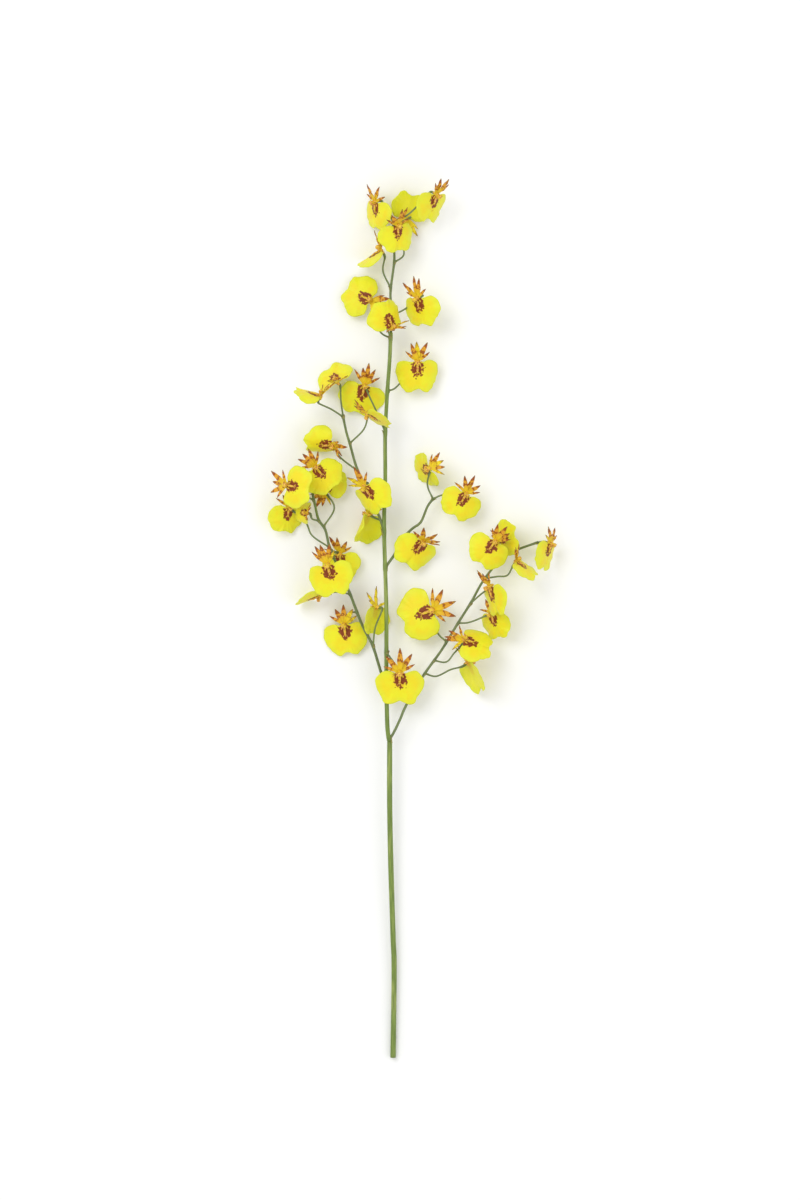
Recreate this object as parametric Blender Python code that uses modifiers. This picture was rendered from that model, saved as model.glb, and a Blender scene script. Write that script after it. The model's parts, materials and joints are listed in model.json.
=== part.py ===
"""A cut spray of dancing-lady orchids, lying on a surface.

Frame: +X is right, +Y runs toward the tip of the spray, +Z is up off the surface.
The origin is the bottom centre of the whole spray's box.  Sizes below are millimetres,
and MM turns them into Blender's metres.
"""

import math
from collections import namedtuple

import bmesh
import bpy
from mathutils import Matrix, Vector

SPRAY = "orchid_spray"
MM = 0.001
GAP = 0.3                     # clearance between one piece and the next

# ---- one flower, at size 1, in its own frame: throat at the origin, lip along -Y, face along +Z
LIP_EDGE = (                  # right half of the lip's outline, from the throat round to the notch
    (0, 1), (6.5, -0.5), (13, 0), (19, -4), (21.5, -11),
    (20, -18.5), (16.5, -22), (13, -26.5), (8, -28.5), (0, -26),
)
LIP_CENTRE = Vector((0, -12, 0.6))
LIP_HALF_WIDTH = 21.5
LIP_DROOP = 0.002             # how fast the lip curves back toward its tip, per millimetre
LIP_THICKNESS = 1.0
TEPAL_FAN = (                 # (degrees from +Y, length, width)
    (0, 20, 5.6), (36, 19, 5.4), (-36, 19, 5.4), (70, 16, 3.6), (-70, 16, 3.6),
)
TEPAL_START = 0.8             # how far from the throat a tepal begins
TEPAL_SET_BACK = -0.9         # tepals stand behind the lip
TEPAL_THICKNESS = 1.5
COLUMN_BACK = 4.0             # the column runs from the ovary behind the throat
COLUMN_FRONT = 6.0            # to its blunt end in front of it
COLUMN_RADII = (3.2, 1.7)
COLUMN_SIDES = 6
COLUMN_TURN = math.radians(11)
SHARP_ANGLE = math.radians(40)

# ---- stalks and stems
STALK_RADIUS = 0.85
STALK_STEP = 9.0
STEM_STEP = 26.0

Stem = namedtuple("Stem", "name parent radii route")
STEMS = (
    Stem("lower_stem", None, (2.5, 2.4), (
        (-18, -399, 2.6), (-17, -320, 5), (-18, -288, 6.5), (-20, -223, 10), (-21, -169, 13),
        (-21, -113, 15))),
    Stem("middle_stem", "lower_stem", (1.95, 1.7), (
        (-21, -113, 15), (-22.6, -105, 15.5), (-23.3, -93, 16), (-24, -57, 17.5), (-24, 6, 19.5),
        (-26, 78, 20.5), (-25, 123, 21), (-25, 164, 21), (-23, 204, 20.5), (-21, 232, 20), (-20, 256, 20))),
    Stem("upper_stem", "middle_stem", (1.2, 1.0), (
        (-20, 256, 20), (-18, 271, 20), (-20, 284, 19.5), (-20, 296, 19), (-17, 319, 18.5), (-17, 333, 18),
        (-18, 359, 18))),
    Stem("left_upper_branch", "middle_stem", (1.3, 1.1), (
        (-26, 76, 20.5), (-30, 89, 21), (-39, 109, 21), (-50, 132, 20), (-57, 156, 19), (-60, 166, 19),
        (-63, 180, 19))),
    Stem("left_lower_branch", "middle_stem", (1.35, 1.1), (
        (-23, -70, 17), (-29, -50, 16), (-36, -27, 16), (-40, -19, 16), (-47, -5, 17), (-57, 21, 18),
        (-66, 41, 19), (-75, 62, 20), (-79, 78, 20), (-85, 87, 20), (-88, 99, 19), (-91, 114, 18),
        (-91, 126, 18))),
    Stem("right_middle_branch", "middle_stem", (1.3, 1.1), (
        (-25, 44, 20), (-16, 57, 15), (-10, 69, 12), (-1, 79, 11), (7, 85, 12), (13, 99, 14), (18, 106, 15))),
    Stem("right_lower_branch", "middle_stem", (1.25, 1.05), (
        (-21.6, -111.5, 15), (-17.5, -105, 15.5), (-11.7, -93, 16), (-6.3, -80.5, 15.5), (9, -54, 14),
        (26, -30, 14), (40, -7, 15), (52, 12, 15), (62, 30, 15), (74, 46, 13), (84, 55, 12), (96, 61, 13),
        (113, 67, 17))),
)

# throat: the flower's place.  turn: (roll, pitch, yaw) in degrees.  At roll 0 the lip points to -Y and
# 90 turns it to +X; pitch lowers its tip; yaw turns the face to the side, and past 90 it faces down.
# fold: how far the lip's sides bend back.  crown: how far the tepals lean forward.
# The stalk leaves the stem nearest to "joins" and passes through "bends".
Flower = namedtuple("Flower", "name throat turn size fold crown stem joins bends")
FLOWERS = (
    Flower("flower_01", (-34, 374, 20), (0, 10, -55), 0.90, 25, 20,
           "upper_stem", (-18, 358), ((-26, 367, 20),)),
    Flower("flower_02", (21, 380, 30), (-15, 10, 52), 0.92, 25, 25,
           "upper_stem", (-18, 356), ((-4, 362, 30), (10, 376, 30))),
    Flower("flower_03", (-5, 359, 9), (172, 12, 160), 0.85, 20, 0,
           "upper_stem", (-18, 351), ((-12, 355, 16),)),
    Flower("flower_04", (-14, 352, 32), (4, 8, 30), 0.86, 30, 30,
           "upper_stem", (-16, 319), ((-8, 328, 22),)),
    Flower("flower_05", (-29, 330, 20), (-58, 0, -76), 0.88, 20, 70,
           "upper_stem", (-20, 296), ((-27, 311, 21),)),
    Flower("flower_06", (-38, 285, 12), (-118, 10, -5), 0.93, 20, 10,
           "middle_stem", (-22, 251), ((-29, 256, 19), (-36, 271, 13))),
    Flower("flower_07", (4, 287, 28), (10, 8, -38), 0.93, 30, 10,
           "upper_stem", (-18, 272), ((-8, 277, 13),)),
    Flower("flower_08", (-19, 259, 36), (-165, -5, -32), 0.93, 55, 95,
           "middle_stem", (-21, 252), ()),
    Flower("flower_09", (4, 230, 20), (0, 8, 5), 0.99, 45, 10,
           "middle_stem", (-23, 203), ((-14, 208, 12),)),
    Flower("flower_10", (-68.5, 211.5, 19.2), (-150, 45, 5), 0.85, 25, 50,
           "left_upper_branch", (-63, 180), ((-65, 195, 20),)),
    Flower("flower_11", (-83, 198, 43), (-108, 0, -72), 0.85, 30, 80,
           "left_upper_branch", (-63, 180), ((-74, 187, 20),)),
    Flower("flower_12", (-43.5, 209, 10.2), (-14, 8, 8), 0.98, 25, 25,
           "middle_stem", (-25, 166), ((-33, 185, 17), (-40, 200, 16))),
    Flower("flower_13", (-41, 182, 38), (58, 0, -76), 0.82, 15, 0,
           "left_upper_branch", (-57, 156), ((-44, 169, 28),)),
    Flower("flower_14", (-72, 155, 18.2), (-86, 5, 40), 0.92, 75, 60,
           "left_upper_branch", (-50, 131), ((-66, 144, 14),)),
    Flower("flower_15", (-44, 117, 40), (35, 5, -35), 0.98, 45, 10,
           "left_upper_branch", (-35, 101), ((-41, 109, 26),)),
    Flower("flower_16", (-40, 92, 10.8), (-24, 8, -124), 0.95, 60, 0,
           "middle_stem", (-26, 78), ((-29, 86, 16),)),
    Flower("flower_17", (-114, 118, 35), (80, -35, 0), 0.92, 25, 10,
           "left_lower_branch", (-90, 105), ((-102, 111, 22),)),
    Flower("flower_18", (-112, 99, 14), (-8, 8, 30), 0.85, 30, 0,
           "left_lower_branch", (-76, 62), ((-91, 73, 12), (-97, 85, 9))),
    Flower("flower_19", (-88, 135, 29), (38, 4, 0), 0.93, 30, 30,
           "left_lower_branch", (-91, 126), ()),
    Flower("flower_20", (-96, 93, 31), (-100, 50, 0), 0.60, 70, 30,
           "left_lower_branch", (-84, 86), ((-91, 88, 24),)),
    Flower("flower_21", (-80, 113, 11), (150, -13, 2), 0.83, 20, 20,
           "left_lower_branch", (-80, 81), ((-71, 98, 15),)),
    Flower("flower_22", (-66, 57, 11), (5, 15, -12), 0.85, 25, 15,
           "left_lower_branch", (-74, 59), ()),
    Flower("flower_23", (-77, 47, 37.5), (14, 5, -8), 1.03, 25, 15,
           "left_lower_branch", (-72, 54), ((-74, 51, 22),)),
    Flower("flower_24", (-86, 18, 13.4), (-69, -20, 80), 0.74, 20, 0,
           "left_lower_branch", (-57, 20), ((-69, 22, 11),)),
    Flower("flower_25", (-62, -7, 8.6), (5, 5, -8), 1.00, 25, 5,
           "left_lower_branch", (-50, 4), ((-57, 3, 9),)),
    Flower("flower_26", (-33, 8, 16), (-12, 5, -128), 0.88, 25, 20,
           "left_lower_branch", (-36, -27), ((-34, -10, 24),)),
    Flower("flower_27", (15, 134, 23), (-63, 55, 0), 0.85, 35, -30,
           "right_middle_branch", (18, 106), ((13, 119, 17),)),
    Flower("flower_28", (48, 111, 23), (-28, 8, 10), 0.88, 25, 10,
           "right_middle_branch", (18, 106), ((28, 110, 16),)),
    Flower("flower_29", (9, 68, 21.5), (-33, 8, 25), 0.98, 35, 40,
           "right_middle_branch", (-7, 74), ((2, 72, 15),)),
    Flower("flower_30", (18, 6, 19), (-69, 5, 0), 1.10, 15, 10,
           "right_lower_branch", (28, -22), ((22, -14, 9),)),
    Flower("flower_31", (74, 68, 30), (-35, 5, 5), 0.92, 20, 20,
           "right_lower_branch", (84, 54), ((80, 61, 22),)),
    Flower("flower_32", (78, 69, 13), (105, -50, 0), 0.80, 20, 0,
           "right_lower_branch", (89, 58), ((84, 63, 13),)),
    Flower("flower_33", (124, 66, 22), (-13, 0, 62), 0.88, 25, 0,
           "right_lower_branch", (112, 67), ()),
    Flower("flower_34", (93, 50, 37), (55, 0, 68), 0.80, 20, 50,
           "right_lower_branch", (66, 34), ((76, 36, 17), (85, 37, 18))),
    Flower("flower_35", (69, 27, 35), (12, 0, -62), 0.95, 25, 20,
           "right_lower_branch", (52, 11), ((60, 19, 20),)),
    Flower("flower_36", (71, 3, 17), (12, 5, -45), 0.85, 25, 0,
           "right_lower_branch", (41, -6), ((52, -5, 13),)),
    Flower("flower_37", (45, -21, 32), (75, 0, 40), 0.95, 25, 10,
           "right_lower_branch", (20, -41), ((30, -41, 24), (37, -33, 31))),
    Flower("flower_38", (50, -42, 18.8), (28, 0, 112), 1.00, 20, 0,
           "right_lower_branch", (11, -52), ((21, -54, 14), (34, -48, 14))),
    Flower("flower_39", (-12, -50, 28), (0, 10, 0), 1.05, 15, 5,
           "middle_stem", (-24, -32), ((-19, -39, 22),)),
)


def clear_scene():
    for obj in list(bpy.data.objects):
        bpy.data.objects.remove(obj, do_unlink=True)


def material(name, colour, roughness):
    made = bpy.data.materials.new(name)
    made.use_nodes = True
    shader = made.node_tree.nodes["Principled BSDF"]
    shader.inputs["Base Color"].default_value = (*colour, 1)
    shader.inputs["Roughness"].default_value = roughness
    shader.inputs["Metallic"].default_value = 0
    return made


def stem_material():
    return material("satin_green_stem", (0.20, 0.27, 0.05), 0.5)


def flower_material():
    return material("yellow_petal", (0.80, 0.78, 0.02), 0.65)


# ---- routes

def smooth_route(points, step):
    """Points about every step millimetres along a Catmull-Rom curve through the given ones."""
    knots = [Vector(point) for point in points]
    ends = [2 * knots[0] - knots[1]] + knots + [2 * knots[-1] - knots[-2]]
    route = [knots[0]]
    for before, start, stop, after in zip(ends, ends[1:], ends[2:], ends[3:]):
        count = max(1, round((stop - start).length / step))
        for i in range(1, count + 1):
            t = i / count
            route.append(0.5 * (2 * start + (stop - before) * t
                                + (2 * before - 5 * start + 4 * stop - after) * t ** 2
                                + (3 * start - before - 3 * stop + after) * t ** 3))
    return route


def place_on_stem(stem, near):
    """The stem's centre, direction and radius where it passes closest to near, seen from above."""
    route = smooth_route(stem.route, 1.0)
    last = len(route) - 1
    i = min(range(len(route)), key=lambda k: (route[k].xy - Vector(near)).length)
    axis = (route[min(i + 1, last)] - route[max(i - 1, 0)]).normalized()
    start, end = stem.radii
    return route[i], axis, start + (end - start) * i / last, i == last


def leave_stem(place, toward, radius):
    """Where a thinner stem of this radius starts, so that it just clears the stem it grows from."""
    centre, axis, stem_radius, at_end = place
    way = (toward - centre).normalized()
    along = abs(way.dot(axis))
    across = math.sqrt(max(0.0, 1 - along * along))
    if at_end and way.dot(axis) > across:
        return centre + way * (GAP + radius * across) / along
    return centre + way * (stem_radius + GAP + radius * along) / across


def tube(name, route, radii, resolution):
    """A closed curve tube along the route, tapering evenly from the first radius to the second."""
    curve = bpy.data.curves.new(name, "CURVE")
    curve.dimensions = "3D"
    curve.bevel_depth = MM
    curve.bevel_resolution = resolution
    curve.use_fill_caps = True
    spline = curve.splines.new("POLY")
    spline.points.add(len(route) - 1)
    for i, (point, place) in enumerate(zip(spline.points, route)):
        point.co = (*(place * MM), 1)
        point.radius = radii[0] + (radii[1] - radii[0]) * i / (len(route) - 1)
    return bpy.data.objects.new(name, curve)


def tube_mesh(name, route, radii, resolution):
    """The same tube as a welded mesh, ready to be joined to other solids."""
    obj = tube(name, route, radii, resolution)
    bpy.context.scene.collection.objects.link(obj)
    evaluated = obj.evaluated_get(bpy.context.evaluated_depsgraph_get())
    data = bpy.data.meshes.new_from_object(evaluated)
    bm = bmesh.new()
    bm.from_mesh(data)
    bmesh.ops.remove_doubles(bm, verts=bm.verts, dist=0.01 * MM)
    bm.to_mesh(data)
    bm.free()
    bpy.data.objects.remove(obj, do_unlink=True)
    return bpy.data.objects.new(name, data)


# ---- flower

def mesh_object(name, bm):
    """Turns a bmesh in millimetres into an object in metres."""
    bmesh.ops.scale(bm, vec=(MM, MM, MM), verts=bm.verts)
    data = bpy.data.meshes.new(name)
    bm.to_mesh(data)
    bm.free()
    return bpy.data.objects.new(name, data)


def bend_back(point, fold):
    """Bends a flat lip's point about the Y axis, so that its side edges turn back by fold degrees."""
    curl = math.radians(fold) / LIP_HALF_WIDTH
    return Vector((math.sin(curl * point.x) / curl,
                   point.y,
                   point.z - (1 - math.cos(curl * point.x)) / curl - LIP_DROOP * point.y ** 2))


def build_lip(size, fold):
    left_half = [(-x, y) for x, y in LIP_EDGE[-2:0:-1]]
    outline = [Vector((x, y, 0)) for x, y in (*LIP_EDGE, *left_half)]
    bm = bmesh.new()
    bmesh.ops.create_circle(bm, cap_ends=True, cap_tris=True, segments=len(outline), radius=1)
    rim = [vert for vert in bm.verts if vert.is_boundary]
    middle = next(vert for vert in bm.verts if not vert.is_boundary)
    rim.sort(key=lambda vert: -math.atan2(vert.co.x, -vert.co.y))
    start = next(i for i, vert in enumerate(rim) if vert.co.y > 0.999)
    for i, place in enumerate(outline):
        rim[(start + i) % len(rim)].co = bend_back(place, fold) * size
    middle.co = bend_back(LIP_CENTRE, fold) * size
    bmesh.ops.recalc_face_normals(bm, faces=bm.faces)
    lip = mesh_object("lip", bm)
    shell = lip.modifiers.new("thickness", "SOLIDIFY")
    shell.thickness = LIP_THICKNESS * MM
    shell.offset = 0
    return lip


def build_tepal(size, crown, angle, length, width):
    """A flat pointed spindle, fanned out from the throat and leaning forward by crown degrees."""
    bm = bmesh.new()
    bmesh.ops.create_uvsphere(bm, u_segments=4, v_segments=2, radius=0.5)
    proportions = Matrix.Diagonal((width, TEPAL_THICKNESS, length, 1))
    outward = (Matrix.Translation((0, TEPAL_START + length / 2, TEPAL_SET_BACK))
               @ Matrix.Rotation(math.radians(-90), 4, "X"))
    fan = Matrix.Rotation(math.radians(-angle), 4, "Z")
    lean = Matrix.Rotation(math.radians(crown), 4, "X")
    bm.transform(Matrix.Scale(size, 4) @ lean @ fan @ outward @ proportions)
    return mesh_object("tepal", bm)


def build_column(size):
    bm = bmesh.new()
    bmesh.ops.create_cone(bm, cap_ends=True, segments=COLUMN_SIDES, radius1=COLUMN_RADII[0],
                          radius2=COLUMN_RADII[1], depth=COLUMN_BACK + COLUMN_FRONT)
    middle = Matrix.Translation((0, 0, (COLUMN_FRONT - COLUMN_BACK) / 2))
    bm.transform(Matrix.Scale(size, 4) @ middle @ Matrix.Rotation(COLUMN_TURN, 4, "Z"))
    return mesh_object("column", bm)


def flower_pose(flower):
    roll, pitch, yaw = (math.radians(angle) for angle in flower.turn)
    turn = Matrix.Rotation(roll, 4, "Z") @ Matrix.Rotation(pitch, 4, "X") @ Matrix.Rotation(yaw, 4, "Y")
    return Matrix.Translation(Vector(flower.throat) * MM) @ turn


def build_stalk(flower, pose):
    """The stalk in the flower's frame, from its stem into the column.

    It comes in from behind the lip, unless its last bend lies in front of it.
    """
    stem = next(stem for stem in STEMS if stem.name == flower.stem)
    place = place_on_stem(stem, flower.joins)
    to_flower = pose.inverted()
    bends = [Vector(bend) for bend in flower.bends]
    last = to_flower @ ((bends[-1] if bends else place[0]) * MM)
    if last.z < 0:
        bends.append(pose @ (Vector((0, 0, -COLUMN_BACK - 4)) * flower.size * MM) / MM)
    bends.append(pose @ (Vector((0, 0, -COLUMN_BACK / 2)) * flower.size * MM) / MM)
    start = leave_stem(place, bends[0], STALK_RADIUS)
    route = [to_flower @ (point * MM) / MM for point in smooth_route([start] + bends, STALK_STEP)]
    return tube_mesh("stalk", route, (STALK_RADIUS, STALK_RADIUS), 1)


def joined(name, solids):
    """One closed body from overlapping solids, by Boolean unions."""
    base = solids[0]
    for solid in solids:
        bpy.context.scene.collection.objects.link(solid)
    for solid in solids[1:]:
        union = base.modifiers.new(solid.name, "BOOLEAN")
        union.operation = "UNION"
        union.object = solid
    evaluated = base.evaluated_get(bpy.context.evaluated_depsgraph_get())
    data = bpy.data.meshes.new_from_object(evaluated)
    for solid in solids:
        bpy.data.objects.remove(solid, do_unlink=True)
    data.shade_smooth()
    data.set_sharp_from_angle(angle=SHARP_ANGLE)
    return bpy.data.objects.new(name, data)


def build_flower(flower):
    pose = flower_pose(flower)
    tepals = [build_tepal(flower.size, flower.crown, *tepal) for tepal in TEPAL_FAN]
    lip = build_lip(flower.size, flower.fold)
    solids = [build_column(flower.size), lip, *tepals, build_stalk(flower, pose)]
    made = joined(flower.name, solids)
    made.matrix_world = pose
    return made


def build_stem(stem):
    route = [Vector(point) for point in stem.route]
    if stem.parent:
        parent = next(other for other in STEMS if other.name == stem.parent)
        route[0] = leave_stem(place_on_stem(parent, route[0].xy), route[1], stem.radii[0])
    return tube(stem.name, smooth_route(route, STEM_STEP), stem.radii, 2 if stem.radii[0] > 1.9 else 1)


def centre_on_surface(objects):
    """Moves everything so that the origin is the bottom centre of the whole box."""
    bpy.context.view_layer.update()
    depsgraph = bpy.context.evaluated_depsgraph_get()
    corners = []
    for obj in objects:
        data = obj.evaluated_get(depsgraph).to_mesh()
        corners += [obj.matrix_world @ vert.co for vert in data.vertices]
    low = Vector(min(corner[axis] for corner in corners) for axis in range(3))
    high = Vector(max(corner[axis] for corner in corners) for axis in range(3))
    shift = Vector((-(low.x + high.x) / 2, -(low.y + high.y) / 2, -low.z))
    for obj in objects:
        obj.matrix_world = Matrix.Translation(shift) @ obj.matrix_world


def main():
    clear_scene()
    spray = bpy.data.collections.new(SPRAY)
    bpy.context.scene.collection.children.link(spray)
    stems = [build_stem(stem) for stem in STEMS]
    flowers = [build_flower(flower) for flower in FLOWERS]
    for pieces, look in ((stems, stem_material()), (flowers, flower_material())):
        for piece in pieces:
            piece.data.materials.clear()
            piece.data.materials.append(look)
            spray.objects.link(piece)
    centre_on_surface(stems + flowers)


main()
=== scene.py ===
import json
import math
import random
from collections import namedtuple

import bmesh
import bpy
from mathutils import Matrix, Vector

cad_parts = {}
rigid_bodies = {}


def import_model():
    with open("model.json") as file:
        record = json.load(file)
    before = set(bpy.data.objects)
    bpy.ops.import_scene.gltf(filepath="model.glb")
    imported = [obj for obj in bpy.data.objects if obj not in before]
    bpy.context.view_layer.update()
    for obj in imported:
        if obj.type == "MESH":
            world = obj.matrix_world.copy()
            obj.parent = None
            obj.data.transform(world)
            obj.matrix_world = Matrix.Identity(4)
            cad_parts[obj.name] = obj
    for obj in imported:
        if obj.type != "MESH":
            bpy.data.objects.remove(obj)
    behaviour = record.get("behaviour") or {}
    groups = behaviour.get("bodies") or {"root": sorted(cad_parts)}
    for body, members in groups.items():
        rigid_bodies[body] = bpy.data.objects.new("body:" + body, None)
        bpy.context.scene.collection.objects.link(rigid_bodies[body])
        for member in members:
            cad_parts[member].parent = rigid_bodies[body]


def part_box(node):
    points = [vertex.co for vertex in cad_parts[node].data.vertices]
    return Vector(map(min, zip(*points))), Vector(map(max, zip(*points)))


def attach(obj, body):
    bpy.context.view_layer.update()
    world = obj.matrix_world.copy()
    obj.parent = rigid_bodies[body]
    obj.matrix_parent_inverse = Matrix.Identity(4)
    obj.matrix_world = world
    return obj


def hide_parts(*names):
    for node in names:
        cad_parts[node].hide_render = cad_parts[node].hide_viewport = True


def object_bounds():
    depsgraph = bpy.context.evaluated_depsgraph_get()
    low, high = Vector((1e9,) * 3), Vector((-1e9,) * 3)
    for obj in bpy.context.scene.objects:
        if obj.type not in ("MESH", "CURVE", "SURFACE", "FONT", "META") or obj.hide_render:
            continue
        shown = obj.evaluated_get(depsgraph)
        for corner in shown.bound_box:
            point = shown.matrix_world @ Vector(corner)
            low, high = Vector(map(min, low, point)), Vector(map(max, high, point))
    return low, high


# The looks of a cut spray of dancing-lady orchids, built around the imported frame.
# The tables and sizes are millimetres in the spray's drawing axes, the same as in the part's source.
# MM and the shift found from the frame turn them into the row frame.

MM = 0.001
SEED = 7
BRACT_SEED = 50
FLOWER_SEED = 100
FLOWER_SEED_STEP = 11
SURFACE_GAP = 0.35            # the least height of a petal's middle layer over the surface

# ---- stems and flowers, as in the part's source
Stem = namedtuple("Stem", "name parent radii route")
STEMS = (
    Stem("lower_stem", None, (2.5, 2.4), (
        (-18, -399, 2.6), (-17, -320, 5), (-18, -288, 6.5), (-20, -223, 10), (-21, -169, 13),
        (-21, -113, 15))),
    Stem("middle_stem", "lower_stem", (1.95, 1.7), (
        (-21, -113, 15), (-22.6, -105, 15.5), (-23.3, -93, 16), (-24, -57, 17.5), (-24, 6, 19.5),
        (-26, 78, 20.5), (-25, 123, 21), (-25, 164, 21), (-23, 204, 20.5), (-21, 232, 20), (-20, 256, 20))),
    Stem("upper_stem", "middle_stem", (1.2, 1.0), (
        (-20, 256, 20), (-18, 271, 20), (-20, 284, 19.5), (-20, 296, 19), (-17, 319, 18.5), (-17, 333, 18),
        (-18, 359, 18))),
    Stem("left_upper_branch", "middle_stem", (1.3, 1.1), (
        (-26, 76, 20.5), (-30, 89, 21), (-39, 109, 21), (-50, 132, 20), (-57, 156, 19), (-60, 166, 19),
        (-63, 180, 19))),
    Stem("left_lower_branch", "middle_stem", (1.35, 1.1), (
        (-23, -70, 17), (-29, -50, 16), (-36, -27, 16), (-40, -19, 16), (-47, -5, 17), (-57, 21, 18),
        (-66, 41, 19), (-75, 62, 20), (-79, 78, 20), (-85, 87, 20), (-88, 99, 19), (-91, 114, 18),
        (-91, 126, 18))),
    Stem("right_middle_branch", "middle_stem", (1.3, 1.1), (
        (-25, 44, 20), (-16, 57, 15), (-10, 69, 12), (-1, 79, 11), (7, 85, 12), (13, 99, 14), (18, 106, 15))),
    Stem("right_lower_branch", "middle_stem", (1.25, 1.05), (
        (-21.6, -111.5, 15), (-17.5, -105, 15.5), (-11.7, -93, 16), (-6.3, -80.5, 15.5), (9, -54, 14),
        (26, -30, 14), (40, -7, 15), (52, 12, 15), (62, 30, 15), (74, 46, 13), (84, 55, 12), (96, 61, 13),
        (113, 67, 17))),
)

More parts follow.
